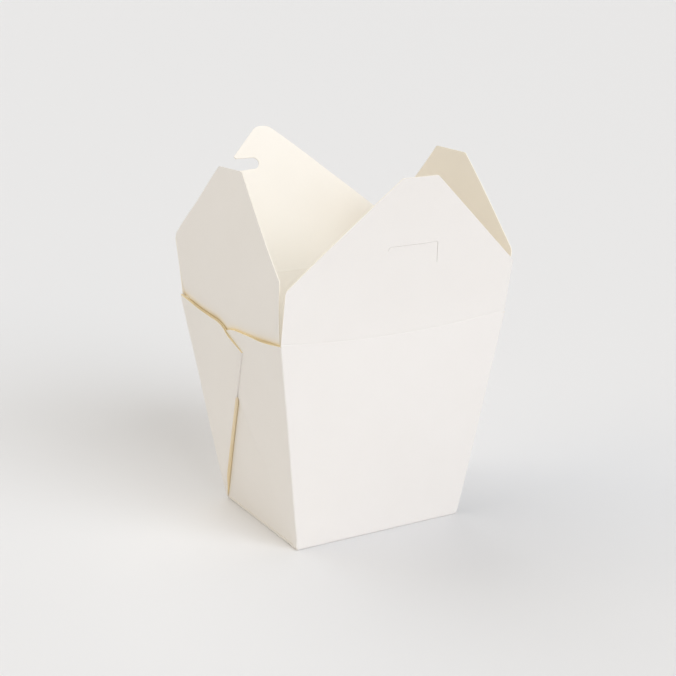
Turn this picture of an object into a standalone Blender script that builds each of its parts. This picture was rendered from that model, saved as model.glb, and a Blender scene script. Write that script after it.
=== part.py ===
"""Open noodle takeaway box: a folded paperboard carton and its four closing flaps.

The origin is the middle of the base's underside, with +Z up and the front at -Y.
The carton is one folded sheet: base, four tapered walls, and a folded corner web
at each upright edge that lies flat on the outside of a side wall. The flaps turn
on the creases round the rim. The front flap has the slot and the back flap the
hooked tab that goes into it.
"""

import math

import bmesh
import bpy
from mathutils import Matrix, Vector

MM = 0.001

# Driving dimensions, over the outside
BOARD = 0.45 * MM
BASE_X = 82.0 * MM
BASE_Y = 68.5 * MM
RIM_X = 109.5 * MM
RIM_Y = 98.0 * MM
CREASE_Z = 97.0 * MM
SIDE_CREASE_DROP = 0.7 * MM

# Clearances round the flaps
GAP = 0.3 * MM
FOLD_ROOM = BOARD / 2 + GAP
FLAP_INSET = 0.6 * MM

# How far each flap leans outward from upright
LEAN_FRONT = math.radians(14.3)
LEAN_BACK = math.radians(19.5)
LEAN_LEFT = math.radians(1.0)
LEAN_RIGHT = math.radians(3.0)

# Front and back flaps: half widths and lengths from the crease
END_SHOULDER_LENGTH = 25.6 * MM
END_SLANT = 0.955
FRONT_TOP_HALF = 8.3 * MM
BACK_LENGTH = 74.2 * MM
BACK_TIP_RADIUS = 6.5 * MM
SHOULDER_RADIUS = 3.0 * MM
TOP_RADIUS = 2.0 * MM

# Side flaps
SIDE_SHOULDER_LENGTH = 29.0 * MM
SIDE_LENGTH = 64.6 * MM
SIDE_TOP_HALF = 10.3 * MM

# Hook notch in the back flap's left edge
NOTCH_LOW = 53.2 * MM
NOTCH_HIGH = 58.9 * MM
NOTCH_END = -6.3 * MM
NOTCH_ROUND = 0.99  # share of half the notch's height, so that the two rounds never meet
MOUTH_RADIUS = 1.0 * MM
HOOK_RADIUS = 0.6 * MM

# Slot in the front flap: a level slit that turns down at both ends
SLOT_WIDTH = 0.6 * MM
SLOT_HEIGHT = 38.7 * MM
SLOT_LEFT = -9.6 * MM
SLOT_RIGHT = 14.0 * MM
SLOT_LEG = 10.0 * MM
SLOT_HOOK = 2.5 * MM
SLOT_HOOK_STEPS = 5
SLOT_DEPTH = 4 * BOARD

# Corner webs, in the plane of a side wall
WEB_THICKNESS = 2 * BOARD
WEB_SET_BACK = 1.2 * MM
WEB_KINK_OUT = 9.0 * MM
WEB_KINK_UP = 94.7 * MM
WEB_KINK_RADIUS = 12.0 * MM
WEB_TIP_UP = 84.1 * MM
WEB_TIP_RADIUS = 1.0 * MM
WEB_LIFT = math.radians(1.0)
WEB_DEPTH = 3.0 * MM

# Fold radii
CORNER_RADIUS = 0.9 * MM
INNER_RADIUS = CORNER_RADIUS - BOARD

# Derived sizes
TAPER_X = math.atan2((RIM_X - BASE_X) / 2, CREASE_Z)
TAPER_Y = math.atan2((RIM_Y - BASE_Y) / 2, CREASE_Z)
SIDE_CREASE_Z = CREASE_Z - SIDE_CREASE_DROP
END_HALF = RIM_X / 2 - BOARD - FLAP_INSET
SIDE_HALF = RIM_Y / 2 - BOARD - FLAP_INSET

# How far the walls are drawn past the creases, and the reach of the trims above them
OVER = 8.0 * MM
TRIM_REACH = 100.0 * MM
WELD = 0.01 * MM

COLLECTION = "noodle_takeaway_box"
CUTTERS = "cutters"


def half_x(height):
    """Half the outer width of the box at a height."""
    return BASE_X / 2 + height * math.tan(TAPER_X)


def half_y(height):
    """Half the outer depth of the box at a height."""
    return BASE_Y / 2 + height * math.tan(TAPER_Y)


def clear_scene():
    for item in list(bpy.data.objects):
        bpy.data.objects.remove(item, do_unlink=True)


def new_collection(name):
    collection = bpy.data.collections.new(name)
    bpy.context.scene.collection.children.link(collection)
    return collection


def paperboard(name, colour, roughness):
    material = bpy.data.materials.new(name)
    material.use_nodes = True
    shader = material.node_tree.nodes["Principled BSDF"]
    shader.inputs["Base Color"].default_value = (*colour, 1.0)
    shader.inputs["Roughness"].default_value = roughness
    shader.inputs["Metallic"].default_value = 0.0
    return material


def add_object(name, mesh, collection, matrix=None):
    item = bpy.data.objects.new(name, mesh)
    collection.objects.link(item)
    if matrix is not None:
        item.matrix_world = matrix
    return item


def hide_cutter(item):
    item.hide_render = True
    item.display_type = "WIRE"


def frustum(name, bottom, top, low_z, high_z, collection):
    """Tapered block: a cube whose upper and lower faces get their own half sizes."""
    mesh = bpy.data.meshes.new(name)
    shape = bmesh.new()
    bmesh.ops.create_cube(shape, size=2.0)
    for vertex in shape.verts:
        upper = vertex.co.z > 0
        reach = top if upper else bottom
        vertex.co.x *= reach[0]
        vertex.co.y *= reach[1]
        vertex.co.z = high_z if upper else low_z
    shape.to_mesh(mesh)
    shape.free()
    return add_object(name, mesh, collection)


def round_edges(item, radius):
    bevel = item.modifiers.new("fold_radius", "BEVEL")
    bevel.width = radius
    bevel.segments = 3
    bevel.limit_method = "ANGLE"


def boolean(item, other, operation):
    modifier = item.modifiers.new(operation.lower() + "_" + other.name, "BOOLEAN")
    modifier.operation = operation
    modifier.solver = "EXACT"
    modifier.object = other


def fillet(corners, steps=5):
    """Closed outline through (x, y, radius) corners, each rounded to its radius."""
    points = []
    count = len(corners)
    for index, (x, y, radius) in enumerate(corners):
        corner = Vector((x, y))
        before = (Vector(corners[index - 1][:2]) - corner).normalized()
        after = (Vector(corners[(index + 1) % count][:2]) - corner).normalized()
        if radius == 0:
            points.append(corner)
            continue
        half = before.angle(after) / 2
        centre = corner + (before + after).normalized() * radius / math.sin(half)
        first = corner + before * radius / math.tan(half) - centre
        last = corner + after * radius / math.tan(half) - centre
        sweep = first.angle(last)
        if first.cross(last) < 0:
            sweep = -sweep
        for step in range(steps + 1):
            points.append(centre + Matrix.Rotation(sweep * step / steps, 2) @ first)
    return points


def ribbon(path, width):
    """Closed outline of a strip of even width along a path."""
    left, right = [], []
    for index, point in enumerate(path):
        ahead = path[min(index + 1, len(path) - 1)] - point
        behind = point - path[max(index - 1, 0)]
        along = (ahead.normalized() + behind.normalized()).normalized()
        across = Vector((-along.y, along.x)) * width / 2
        left.append(point + across)
        right.append(point - across)
    return left + right[::-1]


def plate(name, outline, thickness, collection, matrix=None):
    """Flat mesh piece: its outline in local XY, half its thickness on each side."""
    curve = bpy.data.curves.new(name, "CURVE")
    curve.dimensions = "2D"
    curve.fill_mode = "BOTH"
    curve.extrude = thickness / 2
    spline = curve.splines.new("POLY")
    spline.points.add(len(outline) - 1)
    for point, place in zip(spline.points, outline):
        point.co = (place[0], place[1], 0.0, 1.0)
    spline.use_cyclic_u = True
    drawn = add_object(name + "_outline", curve, collection)
    bpy.context.view_layer.update()
    graph = bpy.context.evaluated_depsgraph_get()
    mesh = bpy.data.meshes.new_from_object(drawn.evaluated_get(graph))
    mesh.name = name
    bpy.data.objects.remove(drawn, do_unlink=True)
    bpy.data.curves.remove(curve)
    shape = bmesh.new()
    shape.from_mesh(mesh)
    bmesh.ops.remove_doubles(shape, verts=shape.verts, dist=WELD)
    bmesh.ops.recalc_face_normals(shape, faces=shape.faces)
    shape.to_mesh(mesh)
    shape.free()
    return add_object(name, mesh, collection, matrix)


def side_wall_frame(offset, lift):
    """Frame on the left wall's outside: X to the front, Y up the slope, Z outward.

    The frame turns by the lift about the wall's back rim corner, so that a web
    drawn in it stands further off the wall away from that corner.
    """
    up = Vector((-math.sin(TAPER_X), 0.0, math.cos(TAPER_X)))
    out = Vector((-math.cos(TAPER_X), 0.0, -math.sin(TAPER_X)))
    ahead = Vector((0.0, -1.0, 0.0))
    start = Vector((-BASE_X / 2, 0.0, 0.0)) + out * offset
    frame = Matrix((ahead, up, out)).transposed().to_4x4()
    frame.translation = start
    pivot = Matrix.Translation((-RIM_Y / 2, 0.0, 0.0))
    return frame @ pivot @ Matrix.Rotation(-lift, 4, "Y") @ pivot.inverted()


def web_outline(facing):
    """Web of the back (facing -1) or the front (facing 1) corner, drawn up the slope."""
    slope = CREASE_Z / math.cos(TAPER_X)
    edge_lean = math.atan2((RIM_Y - BASE_Y) / 2, slope)
    front_lean = math.atan2((RIM_X - BASE_X) / 2, CREASE_Z / math.cos(TAPER_Y))
    half_angle = (math.pi / 2 - edge_lean - front_lean) / 2
    fold_lean = half_angle - edge_lean
    foot = BASE_Y / 2 - WEB_SET_BACK
    tip = foot - WEB_TIP_UP * math.tan(fold_lean)
    corners = [
        (foot, WEB_SET_BACK, 0.0),
        (RIM_Y / 2 - WEB_SET_BACK, slope, 0.0),
        (WEB_KINK_OUT, WEB_KINK_UP, WEB_KINK_RADIUS),
        (tip, WEB_TIP_UP, WEB_TIP_RADIUS),
    ]
    return fillet([(facing * across, up, radius) for across, up, radius in corners])


def web(name, facing, offset, lift, cutters):
    """A folded corner web on the left wall and its mirror image on the right one."""
    frame = side_wall_frame(offset - WEB_DEPTH / 2, lift)
    item = plate(name, web_outline(facing), WEB_DEPTH, cutters)
    item.data.transform(frame)
    mirror = item.modifiers.new("right_wall", "MIRROR")
    mirror.use_mirror_merge = False
    hide_cutter(item)
    return item


def box_cutter(name, half_sizes, centre, cutters):
    low = centre[2] - half_sizes[2]
    high = centre[2] + half_sizes[2]
    item = frustum(name, half_sizes[:2], half_sizes[:2], low, high, cutters)
    item.location = (centre[0], centre[1], 0.0)
    hide_cutter(item)
    return item


def make_carton(parts, cutters):
    """Base, four walls and the folded webs, all one sheet."""
    top_z = CREASE_Z + OVER
    carton = frustum(
        "carton",
        (half_x(0), half_y(0)),
        (half_x(top_z), half_y(top_z)),
        0.0,
        top_z,
        parts,
    )
    round_edges(carton, CORNER_RADIUS)

    front_web = web("front_web", 1, WEB_THICKNESS, 0.0, cutters)
    back_web = web("back_web", -1, WEB_THICKNESS, WEB_LIFT, cutters)

    wall_x = BOARD / math.cos(TAPER_X)
    wall_y = BOARD / math.cos(TAPER_Y)
    cavity_top = top_z + OVER
    cavity = frustum(
        "cavity",
        (half_x(BOARD) - wall_x, half_y(BOARD) - wall_y),
        (half_x(cavity_top) - wall_x, half_y(cavity_top) - wall_y),
        BOARD,
        cavity_top,
        cutters,
    )
    round_edges(cavity, INNER_RADIUS)
    hide_cutter(cavity)

    end_top = CREASE_Z - FOLD_ROOM
    side_top = SIDE_CREASE_Z - FOLD_ROOM
    end_trim = box_cutter(
        "end_trim",
        (TRIM_REACH, TRIM_REACH, TRIM_REACH),
        (0.0, 0.0, end_top + TRIM_REACH),
        cutters,
    )
    side_trim = box_cutter(
        "side_trim",
        (TRIM_REACH, SIDE_HALF + GAP, TRIM_REACH),
        (0.0, 0.0, side_top + TRIM_REACH),
        cutters,
    )
    boolean(carton, front_web, "UNION")
    boolean(carton, back_web, "UNION")
    for cutter in (cavity, end_trim, side_trim):
        boolean(carton, cutter, "DIFFERENCE")
    return carton


def flap_frame(side, lean):
    """Frame on a flap's crease: X along it, Y up the flap, Z outward.

    The side is the flap's compass name; the lean tips its top outward.
    """
    turn = {"front": 0.0, "right": 90.0, "back": 180.0, "left": 270.0}[side]
    end = side in ("front", "back")
    height = CREASE_Z if end else SIDE_CREASE_Z
    reach = half_y(height) if end else half_x(height)
    taper = TAPER_Y if end else TAPER_X
    stand = Matrix.Rotation(math.radians(90), 4, "X")
    return (
        Matrix.Rotation(math.radians(turn), 4, "Z")
        @ Matrix.Translation((0.0, -reach + BOARD / 2 / math.cos(taper), height))
        @ Matrix.Rotation(lean, 4, "X")
        @ stand
    )


def end_slant_half(length):
    """Half width of a front or back flap's slanting sides at a length up the flap."""
    return END_HALF - (length - END_SHOULDER_LENGTH) / END_SLANT


def slant_length(half, slant, shoulder_half, shoulder_length):
    """Length up a flap at which its slanting side has come in to a half width."""
    return shoulder_length + (shoulder_half - half) * slant


def make_front_flap(parts, cutters):
    """Front flap with its level top and the slot."""
    top = slant_length(FRONT_TOP_HALF, END_SLANT, END_HALF, END_SHOULDER_LENGTH)
    outline = fillet(
        [
            (-END_HALF, 0.0, 0.0),
            (END_HALF, 0.0, 0.0),
            (END_HALF, END_SHOULDER_LENGTH, SHOULDER_RADIUS),
            (FRONT_TOP_HALF, top, TOP_RADIUS),
            (-FRONT_TOP_HALF, top, TOP_RADIUS),
            (-END_HALF, END_SHOULDER_LENGTH, SHOULDER_RADIUS),
        ]
    )
    frame = flap_frame("front", LEAN_FRONT)
    flap = plate("flap_front", outline, BOARD, parts, frame)

    path = [Vector((SLOT_LEFT, SLOT_HEIGHT - SLOT_HOOK))]
    for step in range(1, SLOT_HOOK_STEPS + 1):
        angle = math.pi - math.pi / 2 * step / SLOT_HOOK_STEPS
        reach = Vector((math.cos(angle), math.sin(angle))) * SLOT_HOOK
        path.append(Vector((SLOT_LEFT + SLOT_HOOK, SLOT_HEIGHT - SLOT_HOOK)) + reach)
    path.append(Vector((SLOT_RIGHT - SLOT_WIDTH, SLOT_HEIGHT)))
    path.append(Vector((SLOT_RIGHT, SLOT_HEIGHT - SLOT_WIDTH)))
    path.append(Vector((SLOT_RIGHT, SLOT_HEIGHT - SLOT_LEG)))
    slot = plate("slot", ribbon(path, SLOT_WIDTH), SLOT_DEPTH, cutters, frame)
    hide_cutter(slot)
    boolean(flap, slot, "DIFFERENCE")
    return flap


def make_back_flap(parts):
    """Back flap with its round tip and the hook notch in its left edge."""
    notch_radius = (NOTCH_HIGH - NOTCH_LOW) / 2
    tip_half = end_slant_half(BACK_LENGTH)
    # The flap's own X runs to the box's left, so the notch is drawn at +X.
    outline = fillet(
        [
            (-END_HALF, 0.0, 0.0),
            (END_HALF, 0.0, 0.0),
            (END_HALF, END_SHOULDER_LENGTH, SHOULDER_RADIUS),
            (end_slant_half(NOTCH_LOW), NOTCH_LOW, MOUTH_RADIUS),
            (-NOTCH_END, NOTCH_LOW, notch_radius),
            (-NOTCH_END, NOTCH_HIGH, notch_radius * NOTCH_ROUND),
            (end_slant_half(NOTCH_HIGH), NOTCH_HIGH, HOOK_RADIUS),
            (tip_half, BACK_LENGTH, BACK_TIP_RADIUS),
            (-tip_half, BACK_LENGTH, BACK_TIP_RADIUS),
            (-END_HALF, END_SHOULDER_LENGTH, SHOULDER_RADIUS),
        ]
    )
    return plate("flap_back", outline, BOARD, parts, flap_frame("back", LEAN_BACK))


def make_side_flap(side, lean, parts):
    """Side flap: a plain tongue with slanting shoulders."""
    outline = fillet(
        [
            (-SIDE_HALF, 0.0, 0.0),
            (SIDE_HALF, 0.0, 0.0),
            (SIDE_HALF, SIDE_SHOULDER_LENGTH, SHOULDER_RADIUS),
            (SIDE_TOP_HALF, SIDE_LENGTH, TOP_RADIUS),
            (-SIDE_TOP_HALF, SIDE_LENGTH, TOP_RADIUS),
            (-SIDE_HALF, SIDE_SHOULDER_LENGTH, SHOULDER_RADIUS),
        ]
    )
    return plate("flap_" + side, outline, BOARD, parts, flap_frame(side, lean))


def main():
    clear_scene()
    parts = new_collection(COLLECTION)
    cutters = new_collection(CUTTERS)

    pieces = [
        (make_carton(parts, cutters), (0.80, 0.78, 0.75), 0.62),
        (make_front_flap(parts, cutters), (0.83, 0.81, 0.78), 0.60),
        (make_back_flap(parts), (0.85, 0.82, 0.74), 0.68),
        (make_side_flap("left", LEAN_LEFT, parts), (0.74, 0.72, 0.68), 0.62),
        (make_side_flap("right", LEAN_RIGHT, parts), (0.78, 0.74, 0.62), 0.68),
    ]
    for item, colour, roughness in pieces:
        material = paperboard(item.name + "_board", colour, roughness)
        item.data.materials.clear()
        item.data.materials.append(material)


main()
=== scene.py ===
"""Looks of the open noodle takeaway box: one folded paperboard sheet, white outside and cream inside.

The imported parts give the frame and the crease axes. The visible sheets are made here, in
millimetres in the same frame: X to the right, Y to the back, Z up from the table.
"""

import math  # noqa: E402

import bmesh  # noqa: E402
import bpy  # noqa: E402
import numpy as np  # noqa: E402
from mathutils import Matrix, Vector  # noqa: E402


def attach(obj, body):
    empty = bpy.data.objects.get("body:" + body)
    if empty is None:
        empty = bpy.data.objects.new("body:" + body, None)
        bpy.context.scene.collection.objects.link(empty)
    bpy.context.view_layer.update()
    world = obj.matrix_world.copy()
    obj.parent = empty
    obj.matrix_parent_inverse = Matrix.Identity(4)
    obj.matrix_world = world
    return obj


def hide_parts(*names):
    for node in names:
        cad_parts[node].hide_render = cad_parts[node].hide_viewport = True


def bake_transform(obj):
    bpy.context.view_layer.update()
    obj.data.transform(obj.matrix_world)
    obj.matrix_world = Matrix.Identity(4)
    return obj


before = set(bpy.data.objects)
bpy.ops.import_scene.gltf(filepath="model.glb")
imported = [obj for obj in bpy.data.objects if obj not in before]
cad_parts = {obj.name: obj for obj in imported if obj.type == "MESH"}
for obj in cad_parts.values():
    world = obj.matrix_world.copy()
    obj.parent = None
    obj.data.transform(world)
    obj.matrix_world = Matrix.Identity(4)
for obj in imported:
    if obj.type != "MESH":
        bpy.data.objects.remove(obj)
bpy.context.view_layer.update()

MM = 0.001

# The sheet
BOARD = 0.45
HALF_BOARD = BOARD / 2

# Half sizes over the outside of the end walls, and of the side walls under their webs
BASE_X = 41.0
BASE_Y = 34.25
RIM_X = 54.78
RIM_Y = 48.4
CREASE_Z = 97.0
SIDE_BASE_X = 40.6
SIDE_RIM_X = 53.75
SIDE_CREASE_Z = 96.3

# Base fold
FOLD_MID_RADIUS = 0.45
TRAY_TOP = 1.5
CORNER_MID_RADIUS = 0.45

# Creases: height of the arc over its ends
FRONT_ARC = -3.3
BACK_ARC = 3.0
BACK_SEAM_Z = 95.4
BACK_SEAM_X = 54.0
BACK_LEAD = CREASE_Z - BACK_SEAM_Z
SCORE_DEPTH = 0.10
SCORE_WIDTH = 0.35
SCORE_UP = 0.95

# Webs in the plane of a side wall: (towards their own corner, up the slope)
WEB_KINK = {1: (10.5, 94.15), -1: (1.0, 93.4)}
WEB_SAG = {1: 0.85, -1: 0.45}
WEB_TIP = {1: (-9.6, 85.2), -1: (-18.0, 87.4)}
WEB_RIM_UP = {1: 97.9, -1: 97.85}
WEB_CROSS = 0.72
WEB_STACK = 0.955
WEB_SINK = 0.32
WEB_CONTACT = 0.03
WEB_WALL_GAP = 0.04
WEB_KINK_ROUND = 4.0
# Reach in mm of the painted warm gap shade above the webs' free edges and beside their folds
EDGE_SHADE_REACH = 1.0
FOLD_SHADE_REACH = 0.4
WEB_COLS = 22
FOLD_COLS = 7
FOLD_SQUASH = 0.35

TAN_END = (RIM_Y - BASE_Y) / CREASE_Z
TAN_SIDE = (SIDE_RIM_X - SIDE_BASE_X) / CREASE_Z
END_LEAN = math.atan(TAN_END)
SIDE_LEAN = math.atan(TAN_SIDE)


def smooth(low, high, value):
    t = np.clip((np.asarray(value, float) - low) / (high - low), 0, 1)
    return t * t * (3 - 2 * t)


# ---------------------------------------------------------------- sheets


def grid_normals(grid):
    """Unit normals of a grid of points, rows by columns."""
    along = np.gradient(grid, axis=0)
    across = np.gradient(grid, axis=1)
    normal = np.cross(across, along)
    return normal / np.linalg.norm(normal, axis=2, keepdims=True)


def board_mesh(name, grid, materials, flip=False, zone=None, painted_gap_shade=None, plain=None):
    """Closed sheet round a grid of mid points: outer face, inner face and cut edge.

    A zone gives each outer and inner quad of the grid its own material index. The painted gap shade
    is how much each grid point's outer side takes the painted warm shade of the gaps under and
    beside the webs. The plain columns have an edge that is folded and not cut.
    """
    rows, cols, _ = grid.shape
    normal = grid_normals(grid) * (-1 if flip else 1)
    outer = (grid + normal * HALF_BOARD).reshape(-1, 3)
    inner = (grid - normal * HALF_BOARD).reshape(-1, 3)
    count = rows * cols
    index = np.arange(count).reshape(rows, cols)
    quads = np.stack(
        [index[:-1, :-1], index[:-1, 1:], index[1:, 1:], index[1:, :-1]], -1
    ).reshape(-1, 4)
    if flip:
        quads = quads[:, ::-1]
    rim = np.concatenate(
        [index[0, :], index[1:, -1], index[-1, -2::-1], index[-2:0:-1, 0]]
    )
    after = np.roll(rim, -1)
    wall = np.stack([after, rim, rim + count, after + count], -1)
    if flip:
        wall = wall[:, ::-1]
    faces = np.concatenate([quads, quads[:, ::-1] + count, wall])
    mesh = bpy.data.meshes.new(name)
    points = np.concatenate([outer, inner]) * MM
    mesh.from_pydata(points.tolist(), [], faces.tolist())
    if zone is None:
        zone = (np.zeros(len(quads)), np.ones(len(quads)))
    edge = np.full(len(wall), 2)
    if plain is not None:
        edge[np.isin(rim % cols, plain)] = 0
    slots = np.concatenate([np.ravel(zone[0]), np.ravel(zone[1]), edge]).astype(np.int32)
    for material in materials:
        mesh.materials.append(material)
    mesh.polygons.foreach_set("material_index", slots)
    # Point weight of the painted warm gap shade, read by the board materials
    if painted_gap_shade is not None:
        shade_attribute = mesh.attributes.new("painted_gap_shade", "FLOAT", "POINT")
        values = np.concatenate([np.ravel(painted_gap_shade), np.zeros(count)])
        shade_attribute.data.foreach_set("value", values.astype(np.float32))
    return mesh


def add_piece(name, mesh):
    """Links a mesh as a piece, smooth but for its cut edges."""
    mesh.polygons.foreach_set("use_smooth", np.ones(len(mesh.polygons), bool))
    mesh.set_sharp_from_angle(angle=math.radians(42))
    mesh.update()
    piece = bpy.data.objects.new(name, mesh)
    bpy.context.scene.collection.objects.link(piece)
    return piece


def fillet(corners, steps=6):
    """Closed outline through (x, y, radius) corners, each rounded to its radius."""
    points = []
    count = len(corners)
    for place, (x, y, radius) in enumerate(corners):
        corner = Vector((x, y))
        before = (Vector(corners[place - 1][:2]) - corner).normalized()
        after = (Vector(corners[(place + 1) % count][:2]) - corner).normalized()
        if radius == 0:
            points.append((x, y))
            continue
        half = before.angle(after) / 2
        centre = corner + (before + after).normalized() * radius / math.sin(half)
        first = corner + before * radius / math.tan(half) - centre
        last = corner + after * radius / math.tan(half) - centre
        sweep = first.angle(last) * (1 if first.cross(last) > 0 else -1)
        for step in range(steps + 1):
            angle = sweep * step / steps
            c, s = math.cos(angle), math.sin(angle)
            points.append(
                (
                    centre.x + first.x * c - first.y * s,
                    centre.y + first.x * s + first.y * c,
                )
            )
    return np.array(points)


# ---------------------------------------------------------------- materials


def paper(name, colour, tint, roughness, bump=0.05):
    """Board with faint fibre mottling, soft cloudiness, a fine tooth and a painted warm gap shade."""
    material = bpy.data.materials.new(name)
    material.use_nodes = True
    tree = material.node_tree
    shader = tree.nodes["Principled BSDF"]
    shader.inputs["Roughness"].default_value = roughness
    shader.inputs["Specular IOR Level"].default_value = 0.32
    place = tree.nodes.new("ShaderNodeTexCoord")

    def noise(scale, detail):
        node = tree.nodes.new("ShaderNodeTexNoise")
        node.inputs["Scale"].default_value = scale
        node.inputs["Detail"].default_value = detail
        node.inputs["Roughness"].default_value = 0.6
        tree.links.new(place.outputs["Object"], node.inputs["Vector"])
        return node.outputs["Fac"]

    def mix(low, high, factor, span):
        ramp = tree.nodes.new("ShaderNodeMapRange")
        ramp.inputs["From Min"].default_value = 0.5 - span
        ramp.inputs["From Max"].default_value = 0.5 + span
        tree.links.new(factor, ramp.inputs["Value"])
        node = tree.nodes.new("ShaderNodeMix")
        node.data_type = "RGBA"
        tree.links.new(ramp.outputs["Result"], node.inputs["Factor"])
        for socket, value in ((node.inputs["A"], low), (node.inputs["B"], high)):
            if isinstance(value, bpy.types.NodeSocket):
                tree.links.new(value, socket)
            else:
                socket.default_value = (*value, 1.0)
        return node.outputs["Result"]

    cloud = mix(colour, tint, noise(38.0, 3.0), 0.22)
    darker = tuple(channel * 0.965 for channel in colour)
    fibre = mix(cloud, darker, noise(1300.0, 4.0), 0.30)
    blend = tree.nodes.new("ShaderNodeMix")
    blend.data_type = "RGBA"
    blend.inputs["Factor"].default_value = 0.5
    tree.links.new(cloud, blend.inputs["A"])
    tree.links.new(fibre, blend.inputs["B"])
    # Mixes in the painted warm shade of the web gaps, weighted by a point attribute
    shade_attribute = tree.nodes.new("ShaderNodeAttribute")
    shade_attribute.attribute_name = "painted_gap_shade"
    shade_mix = tree.nodes.new("ShaderNodeMix")
    shade_mix.data_type = "RGBA"
    tree.links.new(shade_attribute.outputs["Fac"], shade_mix.inputs["Factor"])
    tree.links.new(blend.outputs["Result"], shade_mix.inputs["A"])
    shade_mix.inputs["B"].default_value = (*GAP_SHADE_TONE, 1.0)
    tree.links.new(shade_mix.outputs["Result"], shader.inputs["Base Color"])

    tooth = tree.nodes.new("ShaderNodeBump")
    tooth.inputs["Strength"].default_value = bump
    tooth.inputs["Distance"].default_value = 0.0004
    tree.links.new(noise(950.0, 5.0), tooth.inputs["Height"])
    tree.links.new(tooth.outputs["Normal"], shader.inputs["Normal"])
    return material


# Painted warm shade of the gaps under and beside the webs, mixed into every board by a point attribute
GAP_SHADE_TONE = (0.92, 0.77, 0.48)
OUTER = paper("outer_board", (0.86, 0.832, 0.795), (0.845, 0.815, 0.775), 0.52)
INNER = paper("inner_board", (0.965, 0.915, 0.825), (0.95, 0.90, 0.805), 0.60)
CUT = paper("cut_edge", (0.92, 0.87, 0.77), (0.88, 0.82, 0.71), 0.75)
# Painted warm shade of the web gaps, on the webs' hidden layers, folds and cut edges
GAP_SHADE_BOARD = paper("web_gap_shade", (0.90, 0.77, 0.50), (0.88, 0.75, 0.48), 0.80)


# ---------------------------------------------------------------- carton


def side_set(side, y, height):
    """Small outward set of a side wall: hollow at the front left, full at the back left."""
    up = np.clip(height / CREASE_Z, 0, 1)
    if side > 0:
        return 0.5 * (1 - smooth(-36, 36, y)) * np.ones_like(up)
    hollow = np.interp(up, [0, 0.05, 0.3, 0.65, 1], [-0.3, 0.4, 0.45, 0.3, 0])
    full = 0.5 * np.sin(math.pi * up)
    ahead = smooth(-36, 36, y)
    corner = 1.0 * smooth(0.5, 1.0, up) * smooth(38, 47, y)
    return -hollow * (1 - ahead) + full * ahead + corner


def front_set(x, height):
    """How far the front wall's foot stands forward, most at the left corner."""
    left = np.clip(0.4 - 0.55 * np.asarray(x) / BASE_X, 0, None)
    return left * (1 - np.clip(height / CREASE_Z, 0, 1))


def side_point(side, y, up, out):
    """Point up a side wall's slope and out from its outer face."""
    y, up, out = np.broadcast_arrays(
        np.asarray(y, float), np.asarray(up, float), np.asarray(out, float)
    )
    height = up * math.cos(SIDE_LEAN) - out * math.sin(SIDE_LEAN)
    reach = SIDE_BASE_X + up * math.sin(SIDE_LEAN) + out * math.cos(SIDE_LEAN)
    reach = reach + side_set(side, y, height)
    return np.stack([side * reach, y, height], -1)


def end_mid(height):
    """Half depth of the end walls' mid surface at a height."""
    return BASE_Y - HALF_BOARD / math.cos(END_LEAN) + height * TAN_END


def front_crease(x):
    return CREASE_Z + FRONT_ARC * (1 - (np.asarray(x) / RIM_X) ** 2)


def back_crease(x):
    return CREASE_Z + BACK_ARC * (1 - (np.asarray(x) / RIM_X) ** 2)


def free_edge(end, count):
    """Free edge of a web from its rim corner over the kink to the tip on the fold."""
    rim = np.array([end_mid(CREASE_Z), WEB_RIM_UP[end]])
    kink, tip = np.array(WEB_KINK[end]), np.array(WEB_TIP[end])
    turn = WEB_KINK_ROUND
    before = kink + (rim - kink) / np.linalg.norm(rim - kink) * turn
    after = kink + (tip - kink) / np.linalg.norm(tip - kink) * turn
    t = np.linspace(0, 1, 9)[:, None]
    bend = before * (1 - t) ** 2 + kink * 2 * t * (1 - t) + after * t**2
    first = rim + (before - rim) * np.linspace(0, 1, 9)[:-1, None]
    first[:, 1] -= WEB_SAG[end] * np.sin(math.pi * np.linspace(0, 1, 9)[:-1])
    path = np.concatenate([first, bend, tip[None]])
    far = np.concatenate([[0], np.cumsum(np.linalg.norm(np.diff(path, axis=0), axis=1))])
    want = np.linspace(0, far[-1], count)
    return np.stack([np.interp(want, far, path[:, k]) for k in (0, 1)], -1)


def gap_shade_mask(y, up):
    """Painted warm shade on a side wall near its webs: full under them, fading just outside."""
    shade_share = np.zeros(np.broadcast(y, up).shape)
    for end in (-1, 1):
        own = end * y
        edge = free_edge(end, WEB_COLS)
        tip = WEB_TIP[end]
        fold = end_mid(0.0) + (tip[0] - end_mid(0.0)) * up / tip[1]
        top = np.interp(own, edge[::-1, 0], edge[::-1, 1])
        above = np.exp(-np.maximum(up - top, 0) / EDGE_SHADE_REACH)
        beside = np.exp(-np.maximum(fold - own, 0) / FOLD_SHADE_REACH)
        shade_share = np.maximum(shade_share, np.minimum(above, beside))
    return shade_share


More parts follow.
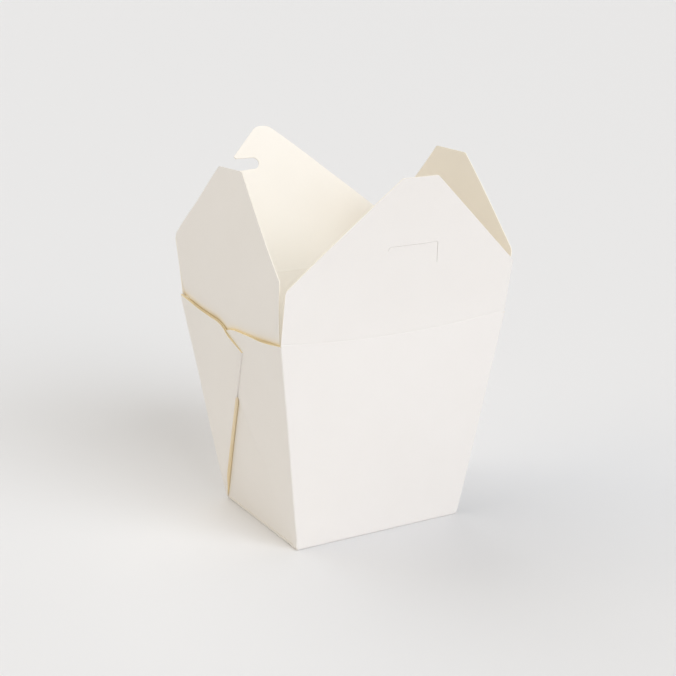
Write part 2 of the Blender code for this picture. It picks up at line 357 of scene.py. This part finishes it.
def web_offsets(end, across, up):
    """Mid offsets of a web's inner and outer layers from the side wall's outer face."""
    thin = 0.55 + 0.45 * smooth(0.0, 0.2, up)
    away = smooth(0.0, 0.16, across)
    mouth = np.sin(math.pi * np.clip(across, 0, 1)) * up**5
    if end > 0:
        low_form = 0.15 + 0.85 * smooth(0.2, 0.9, across)
        top_form = 0.42 + 0.58 * smooth(0.42, 0.64, across)
        form = low_form + (top_form - low_form) * smooth(0.5, 0.8, up)
        dip = smooth(0.50, 0.66, across) * (1 - smooth(0.70, 0.80, across))
        sink = WEB_SINK * smooth(0.8, 1.0, across) * smooth(WEB_CROSS, WEB_CROSS + 0.05, up)
        lift = WEB_STACK * away * smooth(0.03, 0.2, up) * form - sink
        lift = lift * (1 - 0.75 * dip * smooth(0.88, 1.0, up))
        gap = WEB_WALL_GAP + lift * smooth(WEB_CROSS - 0.03, WEB_CROSS, up)
        top = WEB_WALL_GAP + lift
        opening = WEB_CONTACT + 0.30 * mouth
    else:
        low = 1 - smooth(0.18, 0.48, across)
        gap = WEB_WALL_GAP + 0.35 * away * low * up**3
        top = gap
        opening = WEB_CONTACT + 0.75 * mouth * low
    inner = (gap + HALF_BOARD) * thin
    outer = (top + HALF_BOARD + BOARD + opening) * thin
    return inner, outer


def wrap_half(end, side, levels, web_cols=WEB_COLS, fold_cols=FOLD_COLS, corner_cols=6):
    """Columns of a web's two layers, its fold and the corner, from inside outward."""
    edge = free_edge(end, web_cols)
    apex = np.array([end_mid(0.0), 0.0])
    across = np.linspace(0, 1, web_cols)
    start = TRAY_TOP / WEB_RIM_UP[end]
    share = start + levels * (1 - start)
    plan = apex + share[:, None, None] * (edge - apex)[None]
    foot = front_set(side * BASE_X, 0.0) if end < 0 else 0.0
    plan[..., 0] += foot * (1 - share)[:, None] * (1 - across)[None]
    up = share[:, None] * np.ones(web_cols)
    inner_off, outer_off = web_offsets(end, across[None, :], up)
    tuck = CORNER_MID_RADIUS * (1 - across) ** 2

    def layer(offset):
        y = plan[..., 0] - tuck[None]
        return side_point(side, end * y, plan[..., 1], offset)

    inner = layer(inner_off)[:, ::1]
    outer = layer(outer_off)[:, ::-1]

    fold_dir = (edge[-1] - apex) / np.linalg.norm(edge[-1] - apex)
    outward = np.array([-fold_dir[1], fold_dir[0]])
    tip_plan = plan[:, -1]
    low, high = inner_off[:, -1], outer_off[:, -1]
    angles = np.linspace(-90, 90, fold_cols + 2)[1:-1]
    fold = []
    for angle in np.radians(angles):
        radius = (high - low) / 2
        place = tip_plan + outward * (FOLD_SQUASH * radius * math.cos(angle))[:, None]
        offset = (low + high) / 2 + radius * math.sin(angle)
        fold.append(side_point(side, end * place[:, 0], place[:, 1], offset))
    fold = np.stack(fold, 1)

    start_x = np.abs(outer[:, -1, 0])
    height = outer[:, -1, 2]
    centre_x = start_x - CORNER_MID_RADIUS
    centre_y = end_mid(height) - CORNER_MID_RADIUS
    if end < 0:
        centre_y = centre_y + front_set(side * BASE_X, height)
    corner = []
    for angle in np.radians(np.linspace(0, 90, corner_cols + 1)[1:]):
        x = centre_x + CORNER_MID_RADIUS * math.cos(angle)
        y = centre_y + CORNER_MID_RADIUS * math.sin(angle)
        corner.append(np.stack([side * x, end * y, height], -1))
    corner = np.stack(corner, 1)
    return np.concatenate([inner, fold, outer, corner], 1)


def fold_shade_line(levels):
    """Painted warm shade line along the back webs' folds, up to where they lie on the front webs."""
    low = smooth(0.0, 0.03, levels) * (1 - 0.45 * levels)
    return low * (1 - smooth(WEB_CROSS - 0.02, WEB_CROSS, levels))


def make_wrap(name, end, wall_cols=46):
    """End wall with its two corners and both folded webs, one sheet."""
    levels = np.concatenate(
        [
            [0, 0.008, 0.02, 0.04, 0.07],
            np.linspace(0.1, 0.66, 21),
            np.linspace(WEB_CROSS - 0.04, WEB_CROSS + 0.02, 9),
            np.linspace(0.76, 0.94, 8),
            [0.96, 0.98, 0.99, 1],
        ]
    )
    left = wrap_half(end, -1, levels)
    right = wrap_half(end, 1, levels)[:, ::-1]
    from_x, to_x = left[:, -1, 0], right[:, 0, 0]
    share = np.linspace(0, 1, wall_cols + 2)[1:-1]
    if end > 0:
        steps = BACK_SEAM_X + np.array([-0.04, 0.04])
        steps = (np.concatenate([-steps, steps]) - from_x[-1]) / (to_x[-1] - from_x[-1])
        share = np.sort(np.concatenate([share, steps]))
        wall_cols = len(share)
    x = from_x[:, None] + (to_x - from_x)[:, None] * share
    top_x = x[-1]
    if end > 0:
        top_z = np.where(np.abs(top_x) < BACK_SEAM_X, BACK_SEAM_Z, CREASE_Z)
    else:
        top_z = front_crease(top_x)
    height = TRAY_TOP + levels[:, None] * (top_z - TRAY_TOP)[None]
    bulge = 0.5 * np.sin(math.pi * share)[None] * np.sin(math.pi * levels)[:, None]
    y = end_mid(height) + bulge
    if end < 0:
        y = y + front_set(x * BASE_X / np.abs(from_x)[:, None], height)
    wall = np.stack([x, end * y, height], -1)
    grid = np.concatenate([left, wall, right], 1)
    rows, cols = grid.shape[0] - 1, grid.shape[1] - 1
    # Material 2 is the painted warm shade of the web gaps, on the webs' hidden layers, folds and cut edges
    outer_zone, inner_zone = np.zeros((rows, cols)), np.ones((rows, cols))
    for first in (0, cols - WEB_COLS):
        outer_zone[:, first : first + WEB_COLS] = 2
    folded = 2 * WEB_COLS + FOLD_COLS
    inner_zone[:, :folded] = 2
    inner_zone[:, cols - folded :] = 2
    painted_gap_shade = np.zeros(grid.shape[:2])
    # Painted warm shade line along the back webs' folds
    if end > 0:
        share = fold_shade_line(levels)[:, None]
        painted_gap_shade[:, WEB_COLS : WEB_COLS + FOLD_COLS] = share
        painted_gap_shade[:, -WEB_COLS - FOLD_COLS : -WEB_COLS] = share
    zone = (outer_zone, inner_zone)
    plain = np.arange(left.shape[1], left.shape[1] + wall_cols)
    mesh = board_mesh(name, grid, (OUTER, INNER, GAP_SHADE_BOARD), end > 0, zone, painted_gap_shade, plain)
    return add_piece(name, mesh)


def make_side_wall(name, side, cols=121):
    """Side wall between the end walls, under the webs."""
    levels = np.concatenate([[0, 0.01], np.linspace(0.03, 0.9, 36), np.linspace(0.91, 1, 15)])
    top = SIDE_CREASE_Z / math.cos(SIDE_LEAN)
    low = TRAY_TOP / math.cos(SIDE_LEAN)
    up = low + levels * (top - low)
    reach = end_mid(up * math.cos(SIDE_LEAN)) - HALF_BOARD - 0.08
    share = np.linspace(-1, 1, cols)
    y = reach[:, None] * share
    foot = front_set(side * BASE_X, up)[:, None]
    y = y - foot * np.clip(-share, 0, 1)
    rise = up[:, None] * np.ones(cols)
    grid = side_point(side, y, rise, -HALF_BOARD)
    # Painted warm shade on the side wall under the webs and just above and beside their edges
    painted_gap_shade = gap_shade_mask(y, rise)
    mesh = board_mesh(name, grid, (OUTER, INNER, CUT), side < 0, painted_gap_shade=painted_gap_shade)
    return add_piece(name, mesh)


def rounded_ring(half_x, half_y, radius, height, per_corner=6, per_side=16):
    """Points round a rectangle with rounded corners, from the right side onward."""
    points = []
    for quarter, (sx, sy) in enumerate(((1, 1), (-1, 1), (-1, -1), (1, -1))):
        centre = (sx * (half_x - radius), sy * (half_y - radius))
        for step in range(per_corner + 1):
            angle = math.radians(90 * (quarter + step / per_corner))
            points.append(
                (centre[0] + radius * math.cos(angle), centre[1] + radius * math.sin(angle))
            )
        nxt = ((-1, 1), (-1, -1), (1, -1), (1, 1))[quarter]
        other = (nxt[0] * (half_x - radius), nxt[1] * (half_y - radius))
        angle = math.radians(90 * (quarter + 1))
        goal = (other[0] + radius * math.cos(angle), other[1] + radius * math.sin(angle))
        here = points[-1]
        for step in range(1, per_side):
            t = step / per_side
            points.append(
                (here[0] + (goal[0] - here[0]) * t, here[1] + (goal[1] - here[1]) * t)
            )
    ring = np.array(points)
    return np.column_stack([ring, np.full(len(ring), height)])


def make_tray():
    """Base with its fold up into the four walls, as a pan of one thickness."""
    profile = [(FOLD_MID_RADIUS * 0.0 - 6.0, HALF_BOARD), (-2.0, HALF_BOARD)]
    lean = (END_LEAN + SIDE_LEAN) / 2
    sweep = math.pi / 2 - lean
    for step in range(7):
        angle = sweep * step / 6
        inward = -FOLD_MID_RADIUS / math.cos(lean) * (1 - math.sin(angle))
        height = HALF_BOARD + FOLD_MID_RADIUS * (1 - math.cos(angle))
        profile.append((inward, height))
    profile.append((None, TRAY_TOP))
    rings = []
    for inward, height in profile:
        on_wall_x = BASE_X - HALF_BOARD + height * TAN_SIDE - 0.2
        on_wall_y = end_mid(height)
        step_in = inward or 0.0
        radius = CORNER_MID_RADIUS if step_in > -1.0 else 0.4
        rings.append(rounded_ring(on_wall_x + step_in, on_wall_y + step_in, radius, height))
    grid = np.stack(rings)
    ahead = np.clip(-grid[..., 1] / BASE_Y, 0, 1)
    grid[..., 1] -= front_set(grid[..., 0], grid[..., 2]) * ahead
    side = np.sign(grid[..., 0])
    lean_out = np.where(side > 0, side_set(1, grid[..., 1], grid[..., 2]), side_set(-1, grid[..., 1], grid[..., 2]))
    grid[..., 0] += side * lean_out * np.clip(np.abs(grid[..., 0]) / BASE_X, 0, 1) ** 2
    count = grid.shape[1]
    closed = np.concatenate([grid[:, -1:], grid, grid[:, :1]], 1)
    normal = grid_normals(closed)[:, 1:-1]
    bottom_out = grid[0] - normal[0] * HALF_BOARD * 0
    outer = grid - normal * HALF_BOARD
    inner = grid + normal * HALF_BOARD
    if outer[0, 0, 2] > inner[0, 0, 2]:
        outer, inner = inner, outer
    rows = grid.shape[0]
    points = np.concatenate([outer.reshape(-1, 3), inner.reshape(-1, 3)]) * MM
    shift = rows * count
    faces, slots = [], []
    for row in range(rows - 1):
        for col in range(count):
            nxt = (col + 1) % count
            a, b = row * count + col, row * count + nxt
            c, d = a + count, b + count
            faces.append((a, b, d, c))
            slots.append(0)
            faces.append((c + shift, d + shift, b + shift, a + shift))
            slots.append(1)
    last = (rows - 1) * count
    for col in range(count):
        nxt = (col + 1) % count
        faces.append((last + col, last + nxt, last + nxt + shift, last + col + shift))
        slots.append(2)
    faces.append(tuple(range(count))[::-1])
    slots.append(0)
    faces.append(tuple(col + shift for col in range(count)))
    slots.append(1)
    mesh = bpy.data.meshes.new("base_tray")
    mesh.from_pydata(points.tolist(), [], faces)
    for material in (OUTER, INNER, CUT):
        mesh.materials.append(material)
    mesh.polygons.foreach_set("material_index", slots)
    return add_piece("base_tray", mesh)


# ---------------------------------------------------------------- flaps

FLAPS = {
    "front": {"tilt": 0.193, "curl": 0.00165, "arc": FRONT_ARC, "lead": 0.0, "skew": 0.0},
    "back": {"tilt": 0.164, "curl": 0.00595, "arc": BACK_ARC, "lead": BACK_LEAD, "skew": 0.0},
    "left": {"tilt": 0.105, "curl": -0.00398, "arc": 0.0, "lead": 0.0, "skew": -0.043},
    "right": {"tilt": 0.115, "curl": -0.0022, "arc": 0.0, "lead": 0.0, "skew": -0.013},
}

FLAP_OUTLINES = {
    "front": [
        (-54.55, 0, 0),
        (54.55, 0, 0),
        (54.75, 24.9, 3.0),
        (8.2, 69.45, 2.0),
        (-8.2, 69.45, 2.0),
        (-54.75, 24.4, 3.0),
    ],
    "back": [
        (-54.55, 0, 0),
        (54.55, 0, 0),
        (54.7, 25.3, 3.0),
        (30.0, 47.9, 60.0),
        (3.3, 74.1, 6.5),
        (-3.1, 74.1, 6.5),
        (-54.7, 26.1, 3.0),
    ],
    "left": [
        (-45.8, 0, 0),
        (47.9, 0, 0),
        (53.0, 27.6, 2.6),
        (31.0, 46.6, 60.0),
        (11.5, 65.3, 2.0),
        (-9.6, 65.3, 2.0),
        (-48.4, 27.5, 3.0),
    ],
    "right": [
        (-47.4, 0, 0),
        (46.8, 0, 0),
        (48.4, 28.8, 3.0),
        (10.6, 64.75, 2.0),
        (-12.6, 64.75, 2.0),
        (-50.4, 28.8, 3.0),
    ],
}


def outline_sides(corners):
    """Left and right limits of an outline against the length up the flap."""
    points = fillet(corners)
    top = points[:, 1].max()
    at_top = np.flatnonzero(points[:, 1] > top - 1e-3)
    right = points[1 : at_top[0] + 1]
    left = np.concatenate([points[at_top[-1] :], points[:1]])[::-1]
    return left, right


def flap_surface(name, u, v):
    """Mid point of a flap: u along the crease, v up from the level of its ends."""
    f = FLAPS[name]
    u, v = np.broadcast_arrays(np.asarray(u, float), np.asarray(v, float))
    end = name in ("front", "back")
    lean = END_LEAN if end else SIDE_LEAN
    root_v = f["arc"] * (1 - (u / RIM_X) ** 2) / math.cos(lean)
    turn, curl = f["tilt"], f["curl"]

    def out_of(length):
        up = np.maximum(length, 0)
        return (math.cos(turn) - np.cos(turn + curl * up)) / curl + np.minimum(
            length, 0
        ) * math.sin(turn)

    def rise_of(length):
        up = np.maximum(length, 0)
        return (np.sin(turn + curl * up) - math.sin(turn)) / curl + np.minimum(
            length, 0
        ) * math.cos(turn)

    above = np.maximum(v, root_v)
    out = np.minimum(v, root_v) * math.sin(lean) + out_of(above) - out_of(root_v)
    rise = np.minimum(v, root_v) * math.cos(lean) + rise_of(above) - rise_of(root_v)
    if end:
        out = out - SCORE_DEPTH * np.exp(-(((v - root_v - SCORE_UP) / SCORE_WIDTH) ** 2))
    out = out + 0.25 * np.sin(u / 19 + 0.6) * smooth(4, 40, v)
    if end:
        sign = -1 if name == "front" else 1
        y = sign * (end_mid(CREASE_Z) + out)
        return np.stack([u, y, CREASE_Z + rise], -1)
    side = -1 if name == "left" else 1
    along = u if side > 0 else 0.0
    root = side_point(side, along, SIDE_CREASE_Z / math.cos(SIDE_LEAN), -HALF_BOARD)
    return np.stack([root[..., 0] + side * out, u, root[..., 2] + rise], -1)


def make_flap_mesh(name, cols=61):
    """Flap from its crease up, in rows that follow the crease's arc near it."""
    f = FLAPS[name]
    left, right = outline_sides(FLAP_OUTLINES[name])
    top = right[-1, 1]
    rows = np.concatenate(
        [
            [0, 0.12, 0.24, 0.36, 0.5, 0.65, 0.85, 1.1],
            np.arange(1.4, 7.0, 0.35),
            np.arange(7.0, top - 0.4, 1.7),
            *([np.arange(27.0, 41.0, 0.5)] if name == "front" else []),
            right[1:, 1],
            left[1:, 1],
        ]
    )
    rows = np.unique(np.round(rows, 3))
    rows = rows[np.concatenate([[True], np.diff(rows) > 0.04])]
    rows[-1] = top
    share = np.linspace(0, 1, cols)
    grid = []
    if f["lead"]:
        for part in np.linspace(0, 1, 8)[:-1]:
            u = BACK_SEAM_X * (2 * share - 1)
            lean = END_LEAN
            root = f["arc"] * (1 - (u / RIM_X) ** 2) / math.cos(lean)
            low = -f["lead"] / math.cos(lean)
            grid.append(flap_surface(name, u, low + (root - low) * part))
    for row in rows:
        low = np.interp(row, left[:, 1], left[:, 0])
        high = np.interp(row, right[:, 1], right[:, 0])
        u = low + (high - low) * share
        root = f["arc"] * (1 - (u / RIM_X) ** 2) / math.cos(END_LEAN)
        v = row + root * max(0.0, 1 - row / 12) + f["skew"] * u * smooth(30, 60, row)
        grid.append(flap_surface(name, u, v))
    grid = np.array(grid)
    painted_gap_shade = None
    # Painted warm shade on the side flaps just above the webs' free edges
    if name in ("left", "right"):
        up = grid[..., 2] / math.cos(SIDE_LEAN)
        painted_gap_shade = gap_shade_mask(grid[..., 1], up)
    flip = {"front": False, "back": True, "left": True, "right": False}[name]
    return board_mesh(
        "flap_" + name + "_sheet", grid, (OUTER, INNER, CUT), flip, painted_gap_shade=painted_gap_shade
    )


def prism(outline, name, depth=2.5):
    """Cutter through a flap's sheet: an outline in (u, v) swept across the flap."""
    outline = np.array(outline)
    base = flap_surface(name, outline[:, 0], outline[:, 1])
    ahead = flap_surface(name, outline[:, 0] + 0.05, outline[:, 1]) - base
    above = flap_surface(name, outline[:, 0], outline[:, 1] + 0.05) - base
    normal = np.cross(ahead, above)
    normal /= np.linalg.norm(normal, axis=1, keepdims=True)
    count = len(outline)
    points = np.concatenate([base - normal * depth, base + normal * depth]) * MM
    faces = [tuple(range(count))[::-1], tuple(range(count, 2 * count))]
    for k in range(count):
        n = (k + 1) % count
        faces.append((k, n, n + count, k + count))
    mesh = bpy.data.meshes.new("cutter")
    mesh.from_pydata(points.tolist(), [], faces)
    shape = bmesh.new()
    shape.from_mesh(mesh)
    bmesh.ops.recalc_face_normals(shape, faces=shape.faces)
    shape.to_mesh(mesh)
    shape.free()
    for material in (OUTER, INNER, CUT):
        mesh.materials.append(material)
    mesh.polygons.foreach_set("material_index", [0 if name == "front" else 2] * len(faces))
    cutter = bpy.data.objects.new("cutter", mesh)
    bpy.context.scene.collection.objects.link(cutter)
    return cutter


def cut_sheet(mesh, cutters):
    """Takes the cutters out of a sheet and returns the new mesh."""
    holder = bpy.data.objects.new("holder", mesh)
    bpy.context.scene.collection.objects.link(holder)
    for cutter in cutters:
        modifier = holder.modifiers.new("cut", "BOOLEAN")
        modifier.operation = "DIFFERENCE"
        modifier.solver = "EXACT"
        modifier.object = cutter
    bpy.context.view_layer.update()
    graph = bpy.context.evaluated_depsgraph_get()
    result = bpy.data.meshes.new_from_object(holder.evaluated_get(graph))
    for item in [holder, *cutters]:
        bpy.data.objects.remove(item, do_unlink=True)
    return result


# Slot in the front flap and hook notch in the back flap
SLIT_WIDTH = 0.14
TONGUE_SET = 0.14
TONGUE_REACH = 3.0
SLIT_PATH = [(-9.7, 36.9), (-9.5, 37.9), (-8.7, 38.6), (-7.6, 38.8), (-4.0, 38.7), (6.0, 38.7), (12.6, 38.8), (13.7, 38.6)]
SLIT_PATH += [(14.0, 37.9), (14.3, 35.0), (14.7, 32.0), (15.1, 29.0)]


def set_tongue(mesh):
    """Lets the tongue under the slit stand a little proud at its top and in at its foot."""
    rise = np.linspace(0, 60, 121)
    heights = flap_surface("front", 0.0, rise)[:, 2]
    path = np.array(SLIT_PATH)
    top_u, top_v = path[:7, 0], path[:7, 1]
    leg_v, leg_u = path[7:, 1][::-1], path[7:, 0][::-1]
    for vertex in mesh.vertices:
        u, v = vertex.co.x / MM, float(np.interp(vertex.co.z / MM, heights, rise))
        line_v = float(np.interp(u, top_u, top_v))
        line_u = float(np.interp(v, leg_v, leg_u))
        if not (top_u[0] < u < line_u and leg_v[0] - 0.2 < v < line_v):
            continue
        near_top = math.exp(-(line_v - v) / TONGUE_REACH)
        near_leg = math.exp(-(line_u - u) / TONGUE_REACH)
        ends = float(smooth(top_u[0], top_u[0] + 4, u) * smooth(leg_v[0], leg_v[0] + 3, v))
        proud = TONGUE_SET * ends * (near_top * (1 - near_leg) - 0.9 * near_leg)
        vertex.co.y -= proud * MM


def ribbon(path, width):
    """Closed outline of a strip along a path."""
    path = np.array(path, float)
    along = np.gradient(path, axis=0)
    along /= np.linalg.norm(along, axis=1, keepdims=True)
    across = np.column_stack([-along[:, 1], along[:, 0]]) * width / 2
    return np.concatenate([path + across, (path - across)[::-1]])


def notch_outline():
    """Notch into the back flap's left edge, round at its inner end and at its hook."""
    low, high, end_u = 53.3, 58.75, -6.2
    middle, radius = (low + high) / 2, (high - low) / 2
    turn = np.radians(np.linspace(90, -90, 11))
    inner = np.column_stack(
        [end_u - radius + radius * np.cos(turn), middle + radius * np.sin(turn)]
    )
    hook = [(-24.0, 62.5), (-18.9, 61.9), (-18.1, 60.9), (-18.0, 60.1), (-17.9, 59.5)]
    hook += [(-17.5, 59.05), (-16.9, 58.9), (-13.0, 58.85)]
    mouth = [(-16.0, 53.0), (-22.0, 52.9), (-24.6, 52.75), (-25.6, 52.4), (-26.4, 51.8)]
    mouth += [(-27.4, 50.9), (-32.0, 50.0)]
    return np.concatenate([hook, inner, mouth])


def make_flaps():
    made = {}
    front = cut_sheet(make_flap_mesh("front", 161), [prism(ribbon(SLIT_PATH, SLIT_WIDTH), "front")])
    set_tongue(front)
    back = cut_sheet(make_flap_mesh("back"), [prism(notch_outline(), "back")])
    made["front"] = add_piece("front_flap_board", front)
    made["back"] = add_piece("back_flap_board", back)
    for name in ("left", "right"):
        made[name] = add_piece(name + "_flap_board", make_flap_mesh(name))
    return made


# ---------------------------------------------------------------- dressing

carton_pieces = [
    make_tray(),
    make_wrap("front_wrap", -1),
    make_wrap("back_wrap", 1),
    make_side_wall("left_wall", -1),
    make_side_wall("right_wall", 1),
]
for piece in carton_pieces:
    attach(piece, "carton")
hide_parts("carton")

for name, piece in make_flaps().items():
    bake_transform(piece)
    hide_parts("flap_" + name)


# ---------------------------------------------------------------- studio


def make_floor():
    mesh = bpy.data.meshes.new("floor")
    reach = 15.0
    corners = [(-reach, -reach, 0), (reach, -reach, 0), (reach, reach, 0), (-reach, reach, 0)]
    mesh.from_pydata(corners, [], [(0, 1, 2, 3)])
    material = bpy.data.materials.new("pale_floor")
    material.use_nodes = True
    shader = material.node_tree.nodes["Principled BSDF"]
    shader.inputs["Base Color"].default_value = (0.80, 0.79, 0.78, 1.0)
    shader.inputs["Roughness"].default_value = 0.9
    mesh.materials.append(material)
    floor = bpy.data.objects.new("floor", mesh)
    bpy.context.scene.collection.objects.link(floor)


def soft_box(name, place, size, watts, target=(0.0, 0.0, 0.07), colour=(1.0, 1.0, 1.0)):
    light = bpy.data.lights.new(name, "AREA")
    light.shape = "DISK"
    light.size = size
    light.energy = watts
    light.color = colour
    item = bpy.data.objects.new(name, light)
    item.location = place
    item.rotation_mode = "QUATERNION"
    item.rotation_quaternion = (Vector(target) - Vector(place)).to_track_quat("-Z", "Y")
    bpy.context.scene.collection.objects.link(item)


def sun(name, direction, strength, spread, colour):
    """Broad soft light from a direction, the same over the whole floor."""
    light = bpy.data.lights.new(name, "SUN")
    light.energy = strength
    light.angle = math.radians(spread)
    light.color = colour
    item = bpy.data.objects.new(name, light)
    item.rotation_mode = "QUATERNION"
    item.rotation_quaternion = (-Vector(direction)).to_track_quat("-Z", "Y")
    item.location = Vector(direction) * 3
    bpy.context.scene.collection.objects.link(item)


def make_world(strength):
    world = bpy.data.worlds.new("studio")
    world.use_nodes = True
    shade = world.node_tree.nodes["Background"]
    shade.inputs["Color"].default_value = (1.0, 1.0, 1.0, 1.0)
    shade.inputs["Strength"].default_value = strength
    bpy.context.scene.world = world


def make_camera():
    camera = bpy.data.objects.new("camera", bpy.data.cameras.new("camera"))
    camera.data.lens = 85.0
    camera.data.sensor_width = 36.0
    azimuth, elevation = -0.5124, 0.287
    distance, shift_x, shift_y = 0.7355, 0.00086, -0.07722
    back = Vector(
        (
            math.sin(azimuth) * math.cos(elevation),
            -math.cos(azimuth) * math.cos(elevation),
            math.sin(elevation),
        )
    )
    right = Vector((math.cos(azimuth), math.sin(azimuth), 0.0))
    up = back.cross(right)
    camera.location = back * distance - right * shift_x - up * shift_y
    camera.rotation_mode = "QUATERNION"
    camera.rotation_quaternion = (-back).to_track_quat("-Z", "Y")
    camera.data.clip_start = 0.05
    camera.data.clip_end = 60.0
    bpy.context.scene.collection.objects.link(camera)
    bpy.context.scene.camera = camera


make_floor()
make_world(0.335)
sun("key", (0.10, -0.75, 0.65), 1.13, 40, (0.85, 0.92, 1.0))
sun("side_key", (0.40, -0.82, 0.41), 0.74, 40, (0.87, 0.91, 1.0))
sun("low_front", (0.0, -0.98, 0.20), 0.30, 30, (1.0, 0.74, 0.56))
sun("left_fill", (-0.85, 0.25, 0.46), 0.72, 60, (1.0, 0.88, 0.69))
sun("back_top", (-0.10, 0.60, 0.79), 1.10, 60, (1.0, 1.0, 1.0))
make_camera()
bpy.context.scene.view_settings.view_transform = "Standard"
